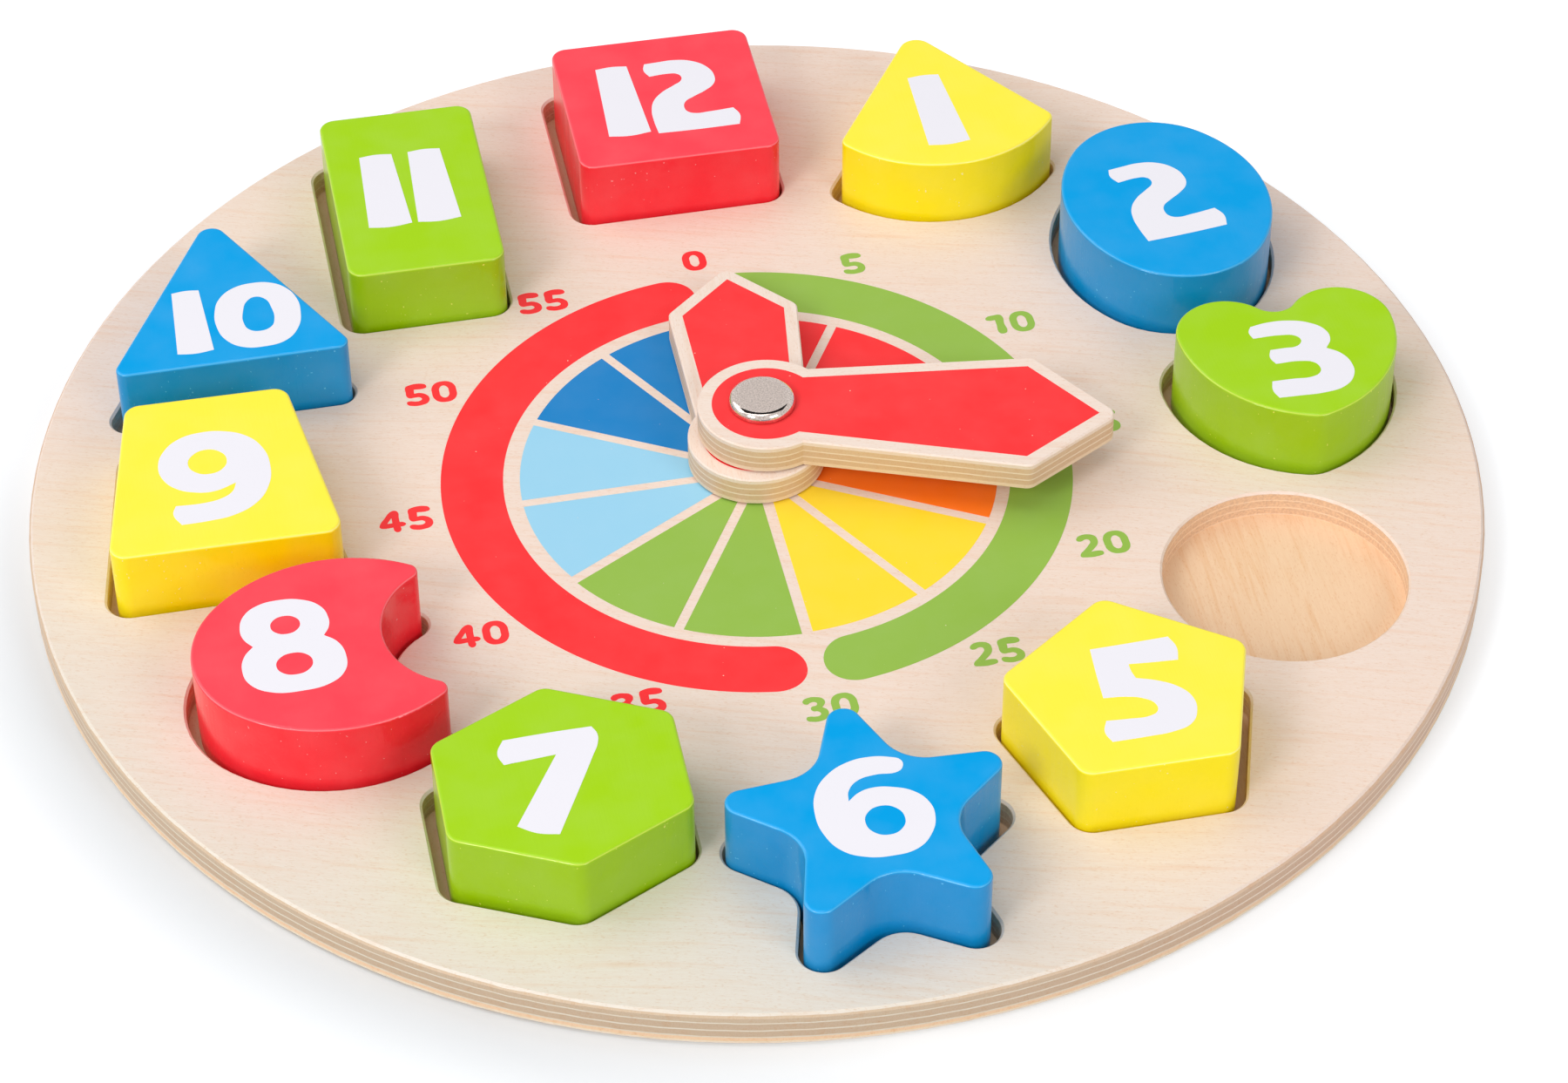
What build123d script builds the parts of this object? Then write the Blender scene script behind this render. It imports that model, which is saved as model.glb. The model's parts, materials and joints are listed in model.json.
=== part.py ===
# Shape-sorting teaching clock: a round plywood board with twelve shaped recesses, loose painted
# number blocks that stand in eleven of them, and two plywood hands that turn on one steel rivet.
#
# Frame: origin at the centre of the underside, +Z out of the face, +Y towards twelve o'clock and
# +X towards three o'clock. All sizes are in millimetres.

import os
from math import cos, hypot, pi, radians, sin, sqrt, tan

from build123d import *

os.makedirs("parts", exist_ok=True)

# ---------------------------------------------------------------- driving dimensions

# boards
board_diameter = 300.0
face_thickness = 6.0        # face board, cut right through at each recess
back_thickness = 2.2        # backing board, the floor of the recesses
board_easing = 0.8          # sanded outer arris
recess_easing = 0.5         # sanded arris round each recess
recess_clearance = 1.5      # gap all round a block that stands in the middle of its recess

# hands and their rivet
pivot_x = 2.2               # the rivet hole is drilled a little off the middle of the board
pivot_y = 5.1
hand_thickness = 6.5
hand_easing = 0.3
hub_radius = 14.2
hand_corner = 2.6
stack_gap = 0.35            # under each hand and under the rivet head
minute_root = 10.6          # half the arm's width abreast of the hub's middle
minute_shoulder = 54.9      # along the hand, from the hub's middle
minute_half_width = 17.2    # at the shoulder
minute_tip = 72.9
minute_turn = -104.4        # degrees anticlockwise from twelve o'clock
minute_hole = (0.0, -0.8)   # the rivet's place across and along the hand, from the hub's middle
hour_root = 11.2
hour_shoulder = 41.6
hour_half_width = 13.9
hour_tip = 55.7
hour_turn = -4.4
hour_hole = (1.5, 2.0)

rivet_diameter = 6.0
rivet_fit = 0.08            # radial, in the board and in both hands
head_lap = 3.9              # how far the head reaches out past the shank
head_rounding = 1.7         # width of the rounded rim
head_thickness = 1.9
head_rim = 0.5              # straight part of the rim, under its rounding
washer_diameter = 14.0
washer_thickness = 1.0
washer_clearance = 2.5      # round the washer, in the backing board
tail_lap = 1.2              # how far the rolled end reaches out past the shank
tail_wall = 1.3             # thickness of the hollow end before it is rolled
tail_bore_depth = 5.0
tail_recess = 0.3           # from the rolled end to the underside of the board

# blocks
block_thickness = 20.8
block_easing = 0.7          # rounded arris of the face that carries the number
block_foot_easing = 0.8     # broken arris of the face that stands in the recess
block_corner = 3.4
floor_gap = 0.2             # under each block

square_side = 44.8
rectangle_width = 33.8
rectangle_height = 56.0
triangle_base = 51.5
triangle_height = 49.4
triangle_tip_corner = 3.2
triangle_base_corner = 2.3
trapezium_base = 47.2
trapezium_top = 33.2
trapezium_height = 46.2
hexagon_width = 46.8
hexagon_side = 25.2
hexagon_height = 48.2
pentagon_radius = 25.9
star_radius = 33.6
star_waist = 14.6
star_tip_corner = 3.3
star_valley_corner = 9.0
oval_width = 44.8
oval_height = 55.0
oval_end_radius = 19.4
crescent_width = 48.4       # across the oval that it is cut from
crescent_length = 56.8
crescent_end_radius = 21.4
crescent_bite_radius = 17.4
crescent_bite_x = 26.4      # from the middle of the crescent's own oval
crescent_corner = 2.2
sector_apex = 34.7          # sharp tip, above the middle
sector_half_angle = 33.2
sector_tip_corner = 3.9
sector_corner = 2.4
sector_arc_radius = 29.3
sector_base = -15.6         # lowest point of the arc
heart_lobe_radius = 11.0
heart_lobe_x = 12.2
heart_lobe_y = 5.2
heart_valley_radius = 5.0
heart_side_radius = 30.0
heart_tip_radius = 6.0
heart_tip_y = -17.8         # middle of the tip's rounding
round_diameter = 46.6       # the round block, which is not in its recess

# middle of each recess: how far in from the rim, and how many degrees past its hour
recess_places = {
    1: (41.4, 3.7),
    2: (35.1, 2.1),
    3: (36.4, -0.3),
    4: (38.4, -1.6),
    5: (42.3, -1.2),
    6: (35.9, 0.0),
    7: (41.3, 1.6),
    8: (44.7, 2.7),
    9: (38.6, 3.7),
    10: (31.4, -1.3),
    11: (41.3, -3.3),
    12: (37.9, 0.3),
}
# how far each loose block has slid in its recess along X and Y, as shares of the clearance, and
# how many degrees it has turned
block_rests = {
    1: (0.36, -0.5, 0.3),
    2: (0.1, -0.5, 3.5),
    3: (0.4, -0.3, -0.8),
    5: (-0.46, -0.55, -0.3),
    6: (-0.6, -0.3, 0.8),
    7: (0.5, -0.5, -0.6),
    8: (0.45, -0.4, 1.8),
    9: (0.5, -0.5, -0.8),
    10: (0.55, -0.55, 0.2),
    11: (0.55, -0.55, -0.4),
    12: (0.55, -0.55, -0.5),
}

# ---------------------------------------------------------------- derived levels

face_underside = back_thickness
face_top = back_thickness + face_thickness
hour_underside = face_top + stack_gap
minute_underside = hour_underside + hand_thickness + stack_gap
head_underside = minute_underside + hand_thickness + stack_gap
washer_underside = face_underside - washer_thickness
board_radius = board_diameter / 2
pivot = (pivot_x, pivot_y)


def recess_middle(number):
    """Clockwise from twelve o'clock, each recess on the line of its hour or a little past it."""
    inset, lead = recess_places[number]
    angle = radians(30 * number + lead)
    reach = board_radius - inset
    return (reach * sin(angle), reach * cos(angle))


# ---------------------------------------------------------------- outlines of the blocks


def polygon_outline(points, corner):
    with BuildSketch() as outline:
        Polygon(*points, align=None)
        fillet(outline.vertices(), corner)
    return outline.sketch


def square_outline():
    with BuildSketch() as outline:
        RectangleRounded(square_side, square_side, block_corner)
    return outline.sketch


def rectangle_outline():
    with BuildSketch() as outline:
        RectangleRounded(rectangle_width, rectangle_height, block_corner)
    return outline.sketch


def triangle_outline():
    base_y = -triangle_height / 3
    points = [(-triangle_base / 2, base_y), (triangle_base / 2, base_y), (0, base_y + triangle_height)]
    with BuildSketch() as outline:
        Polygon(*points, align=None)
        fillet(outline.vertices().sort_by(Axis.Y)[-1], triangle_tip_corner)
        fillet(outline.vertices().sort_by(Axis.Y)[0:2], triangle_base_corner)
    return outline.sketch


def trapezium_outline():
    half = trapezium_height / 2
    points = [
        (-trapezium_base / 2, -half),
        (trapezium_base / 2, -half),
        (trapezium_top / 2, half),
        (-trapezium_top / 2, half),
    ]
    return polygon_outline(points, block_corner)


def hexagon_outline():
    x, y, tip = hexagon_width / 2, hexagon_side / 2, hexagon_height / 2
    points = [(-x, -y), (0, -tip), (x, -y), (x, y), (0, tip), (-x, y)]
    return polygon_outline(points, block_corner)


def pentagon_outline():
    with BuildSketch() as outline:
        RegularPolygon(pentagon_radius, 5, rotation=90)
        fillet(outline.vertices(), block_corner)
    return outline.sketch


def star_outline():
    radii = [star_radius, star_waist] * 5
    angles = [radians(90 + 36 * i) for i in range(10)]
    points = [(radius * cos(angle), radius * sin(angle)) for radius, angle in zip(radii, angles)]
    with BuildSketch() as outline:
        Polygon(*points, align=None)
        tips = outline.vertices().filter_by(lambda vertex: hypot(vertex.X, vertex.Y) > star_waist * 1.01)
        fillet(tips, star_tip_corner)
        valleys = outline.vertices().filter_by(lambda vertex: hypot(vertex.X, vertex.Y) < star_waist * 1.01)
        fillet(valleys, star_valley_corner)
    return outline.sketch


def four_arc_oval(width, height, end_radius):
    """A tight arc at each end and a wide arc along each side, tangent where they meet."""
    end_y = height / 2 - end_radius
    narrowing = width / 2 - end_radius
    # how far the middle of a side's arc lies beyond the oval's own middle
    side_x = (end_y**2 - narrowing**2) / (2 * narrowing)
    reach = hypot(side_x, end_y)
    meet_x = end_radius * side_x / reach
    meet_y = end_y + end_radius * end_y / reach
    with BuildSketch() as outline:
        with BuildLine():
            ThreePointArc((-meet_x, meet_y), (0, height / 2), (meet_x, meet_y))
            ThreePointArc((meet_x, meet_y), (width / 2, 0), (meet_x, -meet_y))
            ThreePointArc((meet_x, -meet_y), (0, -height / 2), (-meet_x, -meet_y))
            ThreePointArc((-meet_x, -meet_y), (-width / 2, 0), (-meet_x, meet_y))
        make_face()
    return outline.sketch


def crescent_outline():
    """An oval that lies along X, with a round bite out of its right side."""
    with BuildSketch() as outline:
        add(four_arc_oval(crescent_width, crescent_length, crescent_end_radius), rotation=90)
        with Locations((crescent_bite_x, 0)):
            Circle(crescent_bite_radius, mode=Mode.SUBTRACT)
        fillet(outline.vertices().sort_by(Axis.X)[-2:], crescent_corner)
    return outline.sketch


def sector_outline():
    """A pointed sector: two straight sides that meet at the tip, closed by an arc below."""
    slope = tan(radians(sector_half_angle))
    arc_middle = sector_base + sector_arc_radius
    # where the side x = (sector_apex - y) * slope meets the arc round (0, arc_middle)
    a = 1 + slope**2
    b = -2 * (sector_apex * slope**2 + arc_middle)
    c = (sector_apex * slope) ** 2 + arc_middle**2 - sector_arc_radius**2
    corner_y = (-b - sqrt(b**2 - 4 * a * c)) / (2 * a)
    corner_x = (sector_apex - corner_y) * slope
    with BuildSketch() as outline:
        with BuildLine():
            Polyline((-corner_x, corner_y), (0, sector_apex), (corner_x, corner_y))
            ThreePointArc((corner_x, corner_y), (0, sector_base), (-corner_x, corner_y))
        make_face()
        fillet(outline.vertices().sort_by(Axis.Y)[-1], sector_tip_corner)
        fillet(outline.vertices().sort_by(Axis.Y)[0:2], sector_corner)
    return outline.sketch


def rim_point(middle, radius, towards):
    return middle + (towards - middle).normalized() * radius


def heart_outline():
    """Two lobes, a rounded tip and a rounded valley, joined by arcs that are tangent to them."""
    lobe = Vector(heart_lobe_x, heart_lobe_y)
    tip = Vector(0, heart_tip_y)
    # the valley's circle touches both lobes from outside
    reach = heart_valley_radius + heart_lobe_radius
    valley = Vector(0, heart_lobe_y + sqrt(reach**2 - heart_lobe_x**2))
    # the side's circle holds the lobe and the tip's circle, and touches both from inside
    to_lobe = heart_side_radius - heart_lobe_radius
    to_tip = heart_side_radius - heart_tip_radius
    course = (tip - lobe).normalized()
    distance = (tip - lobe).length
    along = (to_lobe**2 - to_tip**2 + distance**2) / (2 * distance)
    across = sqrt(to_lobe**2 - along**2)
    side = lobe + course * along + Vector(course.Y, -course.X) * across
    # where the arcs of the right half meet
    top = Vector(0, valley.Y - heart_valley_radius)
    valley_end = rim_point(valley, heart_valley_radius, lobe)
    lobe_end = lobe + (lobe - side).normalized() * heart_lobe_radius
    side_end = tip + (tip - side).normalized() * heart_tip_radius
    bottom = Vector(0, heart_tip_y - heart_tip_radius)
    with BuildSketch() as outline:
        with BuildLine():
            ThreePointArc(top, rim_point(valley, heart_valley_radius, (top + valley_end) / 2), valley_end)
            ThreePointArc(valley_end, rim_point(lobe, heart_lobe_radius, lobe + Vector(1, 1)), lobe_end)
            ThreePointArc(lobe_end, rim_point(side, heart_side_radius, (lobe_end + side_end) / 2), side_end)
            ThreePointArc(side_end, rim_point(tip, heart_tip_radius, (side_end + bottom) / 2), bottom)
            mirror(about=Plane.YZ)
        make_face()
    return outline.sketch


def round_outline():
    with BuildSketch() as outline:
        Circle(round_diameter / 2)
    return outline.sketch


outlines = {
    1: sector_outline(),
    2: four_arc_oval(oval_width, oval_height, oval_end_radius),
    3: heart_outline(),
    4: round_outline(),
    5: pentagon_outline(),
    6: star_outline(),
    7: hexagon_outline(),
    8: crescent_outline(),
    9: trapezium_outline(),
    10: triangle_outline(),
    11: rectangle_outline(),
    12: square_outline(),
}


# ---------------------------------------------------------------- boards

with BuildPart() as face_board:
    with BuildSketch(Plane.XY.offset(face_underside)):
        Circle(board_radius)
    extrude(amount=face_thickness)
    chamfer(face_board.edges().sort_by(Axis.Z)[-1], board_easing)
    for number, block_outline in outlines.items():
        with BuildSketch(Plane((*recess_middle(number), face_underside))):
            add(block_outline)
            offset(amount=recess_clearance)
        extrude(amount=face_thickness, mode=Mode.SUBTRACT)
    recess_rims = face_board.faces().sort_by(Axis.Z)[-1].inner_wires()
    chamfer(recess_rims.edges(), recess_easing)
    with Locations((*pivot, face_top)):
        Hole(rivet_diameter / 2 + rivet_fit)
face_board.part.label = "face_board"
export_step(face_board.part, "parts/face_board.step")

with BuildPart() as back_board:
    with BuildSketch():
        Circle(board_radius)
    extrude(amount=back_thickness)
    chamfer(back_board.edges().sort_by(Axis.Z)[0], board_easing)
    with Locations((*pivot, back_thickness)):
        Hole(washer_diameter / 2 + washer_clearance)
back_board.part.label = "back_board"
export_step(back_board.part, "parts/back_board.step")


# ---------------------------------------------------------------- hands


def hand_outline(root, shoulder, half_width, tip, hole):
    """A round hub and an arm that flares to an arrow, pointing along +Y, with the rivet at the origin."""
    points = [(-root, 0), (root, 0), (half_width, shoulder), (0, tip), (-half_width, shoulder)]
    with BuildSketch() as outline:
        Polygon(*points, align=None)
        fillet(outline.vertices().filter_by(lambda vertex: vertex.Y > hub_radius), hand_corner)
        Circle(hub_radius)
    return outline.sketch.moved(Location((-hole[0], -hole[1])))


with BuildPart() as hour_hand:
    with BuildSketch(Plane(Location((*pivot, hour_underside), (0, 0, hour_turn)))):
        add(hand_outline(hour_root, hour_shoulder, hour_half_width, hour_tip, hour_hole))
        Circle(rivet_diameter / 2 + rivet_fit, mode=Mode.SUBTRACT)
    extrude(amount=hand_thickness)
    chamfer(hour_hand.edges().group_by(Axis.Z)[-1], hand_easing)
    chamfer(hour_hand.edges().group_by(Axis.Z)[0], hand_easing)
hour_hand.part.label = "hour_hand"
export_step(hour_hand.part, "parts/hour_hand.step")

with BuildPart() as minute_hand:
    with BuildSketch(Plane(Location((*pivot, minute_underside), (0, 0, minute_turn)))):
        add(hand_outline(minute_root, minute_shoulder, minute_half_width, minute_tip, minute_hole))
        Circle(rivet_diameter / 2 + rivet_fit, mode=Mode.SUBTRACT)
    extrude(amount=hand_thickness)
    chamfer(minute_hand.edges().group_by(Axis.Z)[-1], hand_easing)
    chamfer(minute_hand.edges().group_by(Axis.Z)[0], hand_easing)
minute_hand.part.label = "minute_hand"
export_step(minute_hand.part, "parts/minute_hand.step")


# ---------------------------------------------------------------- rivet and washer

shank_radius = rivet_diameter / 2
head_radius = shank_radius + head_lap
head_flat_radius = head_radius - head_rounding
head_top = head_underside + head_thickness
rim_top = head_underside + head_rim
# halfway round the rounding of the head, from its straight rim to its flat top
rim_x = head_radius - head_rounding * (1 - cos(pi / 4))
rim_z = rim_top + (head_top - rim_top) * sin(pi / 4)
bore_radius = shank_radius - tail_wall
bore_top = tail_recess + tail_bore_depth
tail_radius = shank_radius + tail_lap
roll_radius = (washer_underside - tail_recess) / 2

with BuildPart() as hand_rivet:
    with BuildSketch(Plane(origin=(*pivot, 0), x_dir=(1, 0, 0), z_dir=(0, -1, 0))):
        with BuildLine():
            Polyline(
                (0, head_top),
                (0, bore_top),
                (bore_radius, bore_top),
                (bore_radius, tail_recess),
                (tail_radius - roll_radius, tail_recess),
            )
            ThreePointArc(
                (tail_radius - roll_radius, tail_recess),
                (tail_radius, tail_recess + roll_radius),
                (tail_radius - roll_radius, washer_underside),
            )
            Polyline(
                (tail_radius - roll_radius, washer_underside),
                (shank_radius, washer_underside),
                (shank_radius, head_underside),
                (head_radius, head_underside),
                (head_radius, rim_top),
            )
            ThreePointArc((head_radius, rim_top), (rim_x, rim_z), (head_flat_radius, head_top))
            Line((head_flat_radius, head_top), (0, head_top))
        make_face()
    revolve(axis=Axis((*pivot, 0), (0, 0, 1)))
hand_rivet.part.label = "hand_rivet"
export_step(hand_rivet.part, "parts/hand_rivet.step")

with BuildPart() as rivet_washer:
    with BuildSketch(Plane((*pivot, washer_underside))):
        Circle(washer_diameter / 2)
        Circle(shank_radius + rivet_fit, mode=Mode.SUBTRACT)
    extrude(amount=washer_thickness)
rivet_washer.part.label = "rivet_washer"
export_step(rivet_washer.part, "parts/rivet_washer.step")


# ---------------------------------------------------------------- number blocks

for number, (slide_x, slide_y, turn) in block_rests.items():
    recess_x, recess_y = recess_middle(number)
    block_x = recess_x + slide_x * recess_clearance
    block_y = recess_y + slide_y * recess_clearance
    with BuildPart() as block:
        with BuildSketch(Plane(Location((block_x, block_y, back_thickness + floor_gap), (0, 0, turn)))):
            add(outlines[number])
        extrude(amount=block_thickness)
        fillet(block.edges().group_by(Axis.Z)[-1], block_easing)
        chamfer(block.edges().group_by(Axis.Z)[0], block_foot_easing)
    block.part.label = f"block_{number}"
    export_step(block.part, f"parts/block_{number}.step")
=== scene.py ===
# %% [markdown]
# # A shape-sorting teaching clock
# The clock is a round plywood board with twelve shaped recesses, eleven painted number blocks that
# stand in them, and two plywood hands on one steel rivet. Its solids come ready made, in their real
# size and place. What is left for Blender is everything that is printed, painted or veneered, so
# the first cell loads the solids.

# %% Load the solids
import json
from math import cos, pi, radians, sin

import bpy
import numpy as np
from mathutils import Matrix, Vector


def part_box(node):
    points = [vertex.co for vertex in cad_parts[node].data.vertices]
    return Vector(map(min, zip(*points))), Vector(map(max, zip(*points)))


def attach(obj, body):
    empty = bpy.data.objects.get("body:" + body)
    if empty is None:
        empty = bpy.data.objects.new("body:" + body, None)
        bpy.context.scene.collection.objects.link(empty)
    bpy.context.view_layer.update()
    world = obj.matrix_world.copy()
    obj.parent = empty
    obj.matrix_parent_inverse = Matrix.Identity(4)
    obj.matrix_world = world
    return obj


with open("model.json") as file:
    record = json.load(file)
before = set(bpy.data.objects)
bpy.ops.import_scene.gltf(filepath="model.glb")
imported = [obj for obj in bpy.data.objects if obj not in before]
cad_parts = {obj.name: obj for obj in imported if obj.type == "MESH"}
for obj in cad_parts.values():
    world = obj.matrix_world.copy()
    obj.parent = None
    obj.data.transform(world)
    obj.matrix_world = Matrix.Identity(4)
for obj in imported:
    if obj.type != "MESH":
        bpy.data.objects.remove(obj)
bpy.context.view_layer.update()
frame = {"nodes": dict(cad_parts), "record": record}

nodes = frame["nodes"]
MM = 0.001  # Blender works in metres, and all sizes but the lamps' are written in millimetres

# %% [markdown]
# ## Colours and nodes
# A paint chart gives colours as sRGB hex values, but light adds up only in linear values, so one
# function turns the first into the second. A material in Blender is a small graph. Building it in
# code needs one helper that adds a node, sets its properties and feeds its sockets. Two nodes do
# most of the work here: Map Range turns one span of values into another and holds the ends, and Mix
# lays a second colour over a first one, or multiplies the two.

# %% Helpers for every material


def colour(code):
    """An sRGB hex colour as linear red, green, blue and alpha."""
    srgb = np.array([int(code[i : i + 2], 16) for i in (1, 3, 5)]) / 255
    linear = np.where(srgb <= 0.04045, srgb / 12.92, ((srgb + 0.055) / 1.055) ** 2.4)
    return (*linear.tolist(), 1.0)


def put(tree, kind, inputs=(), stops=(), **settings):
    """Adds one node and returns its first output that is in use.

    Settings are the node's own properties. Inputs are a dictionary by socket name, or a list for
    the sockets in use in their order. Each is a value or the socket that feeds it. Stops are a
    ramp's positions and colours.
    """
    made = tree.nodes.new("ShaderNode" + kind)
    for name, value in settings.items():
        setattr(made, name, value)
    live = [socket for socket in made.inputs if socket.enabled]
    named = {socket.name: socket for socket in reversed(live)}
    for key, value in inputs.items() if isinstance(inputs, dict) else enumerate(inputs):
        socket = named[key] if isinstance(key, str) else live[key]
        if isinstance(value, bpy.types.NodeSocket):
            tree.links.new(value, socket)
        else:
            socket.default_value = value
    for i, (position, shade) in enumerate(stops):
        elements = made.color_ramp.elements
        stop = elements[i] if i < 2 else elements.new(position)
        stop.position, stop.color = position, shade
    outputs = [socket for socket in made.outputs if socket.enabled]
    return outputs[0] if outputs else made


LAY_OVER = {"data_type": "RGBA"}  # a Mix node's settings, for colours
MULTIPLY = {"data_type": "RGBA", "blend_type": "MULTIPLY"}
BLACK, WHITE = (0.0, 0.0, 0.0, 1.0), (1.0, 1.0, 1.0, 1.0)


def start(name):
    """A new material with an empty graph, and the two coordinates that its patterns read."""
    material = bpy.data.materials.new(name)
    material.use_nodes = True
    tree = material.node_tree
    tree.nodes.clear()
    read = put(tree, "TexCoord").node.outputs
    return material, tree, read["Object"], read["Normal"]


print("middle grey #808080 is", round(colour("#808080")[0], 3), "in linear light")

# %% [markdown]
# ## Wood grain
# Wood is a bundle of fibres, so its pattern is long one way and narrow the other two. A solid noise
# with its space drawn out along the grain does that on every face at once: long streaks on a face
# that the fibres run along, and dots where they are cut across. An image could not turn that
# corner. The length and width of a streak are given in millimetres.

# %% Streaks along the grain


def streaks(tree, where, turn, size, detail=2.0):
    """Noise in cells of length by width by width, turned by degrees anticlockwise from +X."""
    length, width = size
    cell = (length * MM, width * MM, width * MM)
    place = {"Vector": where, "Rotation": (0, 0, radians(turn)), "Scale": cell}
    laid = put(tree, "Mapping", place, vector_type="TEXTURE")
    noise = {"Vector": laid, "Scale": 1.0, "Detail": detail, "Roughness": 0.55}
    return put(tree, "TexNoise", noise)


# length and width in mm. Real fibres are finer, and are drawn this coarse so that they show
VEINS, THREADS, PORES, FIBRES = (26, 1.4), (3.5, 0.4), (0.9, 0.3), (4, 0.35)


def grain_tint(tree, where, turn, vein):
    """The colour that a wood is multiplied by: white, with warm veins, threads and short pores.

    Each pattern starts where its noise passes the first number and is full at the second.
    """
    band = put(tree, "MapRange", [streaks(tree, where, turn, VEINS, 3), 0.52, 0.85])
    thread = put(tree, "MapRange", [streaks(tree, where, turn, THREADS), 0.35, 0.75])
    pore = put(tree, "MapRange", [streaks(tree, where, turn, PORES, 1), 0.58, 0.75])
    tint = put(tree, "Mix", [band, WHITE, colour(vein)], **LAY_OVER)
    tint = put(tree, "Mix", [thread, tint, colour("#FCF8F4")], **MULTIPLY)
    return put(tree, "Mix", [pore, tint, colour("#F8EEE5")], **MULTIPLY)


print("veins are", VEINS[0], "mm long, threads", THREADS[0], "mm and pores", PORES[0], "mm")

# %% [markdown]
# ## Plywood
# Plywood is glued from thin layers, the plies, each with its grain across the one below. On the rim
# of the board and of the hands they show as tan and pale lines: tan where the fibres are cut
# across. The height above the underside picks the ply's colour from a ramp, and the ramp's alpha
# says which way its grain runs. A little noise on the height keeps the lines from looking ruled.
# The rim is sanded, but in the recesses the cutter leaves the wood fuzzy and more golden. The
# backing board is faced with beech, warmer and darker, which shows on the floor of a recess.

# %% A material for a stack of plies
FACE_TURN, BACK_TURN = -17, 88  # the grain of the boards' veneers, in degrees from +X
HOUR_TURN, MINUTE_TURN = 86, -14  # and of the hands'
BEND_OVER, BEND_BY = 110, 16  # mm: over the first length the grain drifts sideways by the second
WOBBLE_OVER, WOBBLE_BY = 6, 0.09  # mm: the same for the lines between plies, up and down
MILLED_WITHIN = 147  # mm: every recess wall lies within this radius, and the board's rim does not
FUZZ = 0.5  # mm, coarser than the real tufts so that they show
# the painted sheen greys the face veneer fully at the first distance below along this direction,
# and is gone at the second
TO_BACK_RIGHT = (0.6, 0.8, 0)
GREY_AT, CLEAR_AT = -120, -50  # mm along that direction, from the board's middle


def plywood(name, underside, plies, turn, vein, sheen, milled=None):
    """Plies are (top of the ply above the underside in mm, hex colour, 1 if it runs crosswise).

    Milled is a colour laid in specks over every upright wall that lies inside the board's rim. A
    board with such walls is wide enough to show a painted sheen, which greys its veneer a little
    towards the front left.
    """
    material, tree, where, normal = start(name)
    thickness = plies[-1][0]

    # the grain bends slowly, and the lines between plies wobble
    slow = put(tree, "TexNoise", {"Vector": where, "Scale": 1 / (BEND_OVER * MM), "Detail": 0.0})
    aside = (0, BEND_BY * MM, 0)
    grown = put(tree, "VectorMath", [slow, aside, where], operation="MULTIPLY_ADD")
    cell = {"Vector": where, "Scale": 1 / (WOBBLE_OVER * MM), "Detail": 2.0}
    wobble = put(tree, "TexNoise", cell)
    wobble = put(tree, "MapRange", [wobble, 0.2, 0.8, -WOBBLE_BY * MM, WOBBLE_BY * MM])
    z = put(tree, "SeparateXYZ", [where]).node.outputs["Z"]
    z = put(tree, "Math", [z, wobble], operation="ADD")

    # the height picks the ply, and the ply its colour and the way its grain runs
    height = put(tree, "MapRange", [z, underside * MM, (underside + thickness) * MM])
    bottoms = [0.0] + [top / thickness for top, _, _ in plies[:-1]]
    hues = [(*colour(code)[:3], float(crosswise)) for _, code, crosswise in plies]
    ply = put(tree, "ValToRGB", [height], list(zip(bottoms, hues)))
    ply.node.color_ramp.interpolation = "CONSTANT"
    along = grain_tint(tree, grown, turn, vein)
    across = grain_tint(tree, grown, turn + 90, vein)
    tint = put(tree, "Mix", [ply.node.outputs["Alpha"], along, across], **LAY_OVER)
    shade = put(tree, "Mix", [1.0, ply, tint], **MULTIPLY)

    if milled:
        # a wall is upright, so its normal's Z is near nought, and it lies inside the rim
        up = put(tree, "SeparateXYZ", [normal]).node.outputs["Z"]
        level = put(tree, "Math", [up], operation="ABSOLUTE")
        wall = put(tree, "MapRange", [level, 0.3, 0.7, 1.0, 0.0])
        flat = put(tree, "VectorMath", [where, (1, 1, 0)], operation="MULTIPLY")
        radius = put(tree, "VectorMath", [flat], operation="LENGTH").node.outputs["Value"]
        edge = MILLED_WITHIN * MM
        inside = put(tree, "MapRange", [radius, edge, edge + MM, 1.0, 0.0])
        wall = put(tree, "Math", [wall, inside], operation="MULTIPLY")
        fuzz = put(tree, "TexNoise", {"Vector": where, "Scale": 1 / (FUZZ * MM), "Detail": 2.0})
        fuzz = put(tree, "MapRange", [fuzz, 0.35, 0.65, 0.2, 0.6])
        wall = put(tree, "Math", [wall, fuzz], operation="MULTIPLY")
        shade = put(tree, "Mix", [wall, shade, colour(milled)], **LAY_OVER)
        # painted sheen: towards the front left the veneer is multiplied a little greyer, as a sheen
        # would pale it
        back = put(tree, "VectorMath", [where, TO_BACK_RIGHT], operation="DOT_PRODUCT")
        back = back.node.outputs["Value"]
        painted_sheen_grey = put(tree, "MapRange", [back, GREY_AT * MM, CLEAR_AT * MM, 1.0, 0.0])
        shade = put(tree, "Mix", [painted_sheen_grey, shade, colour("#F3FFFF")], **MULTIPLY)

    # sanded and sealed: the fibres stand up a few hundredths of a millimetre and break a low sheen
    fibre = streaks(tree, grown, turn, FIBRES)
    bump = put(tree, "Bump", {"Height": fibre, "Strength": 0.1, "Distance": 0.05 * MM})
    rough = put(tree, "MapRange", [fibre, 0.3, 0.7, sheen - 0.05, sheen + 0.08])
    wood = {"Base Color": shade, "Roughness": rough, "IOR": 1.5, "Normal": bump}
    put(tree, "OutputMaterial", {"Surface": put(tree, "BsdfPrincipled", wood)})
    return material


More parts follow.
